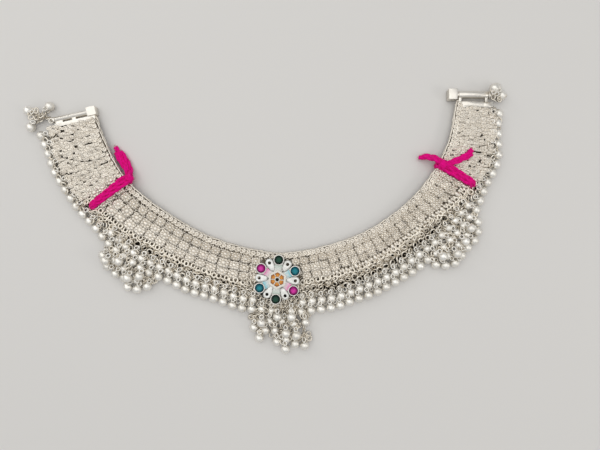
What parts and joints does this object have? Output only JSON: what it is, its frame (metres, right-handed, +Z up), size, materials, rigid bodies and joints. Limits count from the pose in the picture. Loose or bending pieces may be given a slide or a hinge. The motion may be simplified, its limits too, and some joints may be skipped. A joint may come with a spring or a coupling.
{
  "type": "payal anklet",
  "caption": "Silver ankle chain with a woven band, a fringe of small round bells, an enamelled flower with cut stones and a screw clasp, lying open.",
  "frame": {"origin": "middle of the whole object's box, on the surface that it lies on", "axes": "+X along the crescent's chord from the left end to the right end, +Y towards its open side, +Z up out of the face"},
  "size_m": [0.2366, 0.1328, 0.0094],
  "materials": {
    "woven_silver": "woven silver wire, dark in its hollows",
    "ring_silver": "drawn silver wire rings",
    "bell_silver": "polished silver",
    "clasp_silver": "soldered silver, lightly scratched",
    "orange_enamel": "glossy orange enamel",
    "white_enamel": "frosted white enamel",
    "green_stone": "cut dark green stone",
    "teal_stone": "cut teal stone",
    "magenta_stone": "cut magenta stone",
    "pink_wool": "fluffy hot pink wool"
  },
  "bodies": {
    "anklet": {"chain_band": "woven_silver", "fringe_net": "ring_silver", "fringe_bells_left": "bell_silver", "fringe_bells_right": "bell_silver", "drop_bells_left": "bell_silver", "drop_bells_centre": "bell_silver", "drop_bells_right": "bell_silver", "clasp_end_left": "clasp_silver", "clasp_end_right": "clasp_silver", "flower_setting": "clasp_silver", "hub_enamel": "orange_enamel", "petal_enamel": "white_enamel", "stone_top": "green_stone", "stone_upper_right": "teal_stone", "stone_lower_right": "magenta_stone", "stone_bottom": "green_stone", "stone_lower_left": "teal_stone", "stone_upper_left": "magenta_stone", "wool_tie_left": "pink_wool", "wool_tie_right": "pink_wool"},
    "left_pin": {"screw_pin_left": "clasp_silver", "end_bunch_left": "bell_silver"},
    "right_pin": {"screw_pin_right": "clasp_silver", "end_bunch_right": "bell_silver"}
  },
  "joints": [
    {"name": "left_pin_slide", "type": "slide", "parent": "anklet", "child": "left_pin", "axis": [-0.9755, -0.2198, 0], "range_m": [0, 0.019]},
    {"name": "right_pin_slide", "type": "slide", "parent": "anklet", "child": "right_pin", "axis": [1, 0, 0], "range_m": [0, 0.0175]}
  ]
}
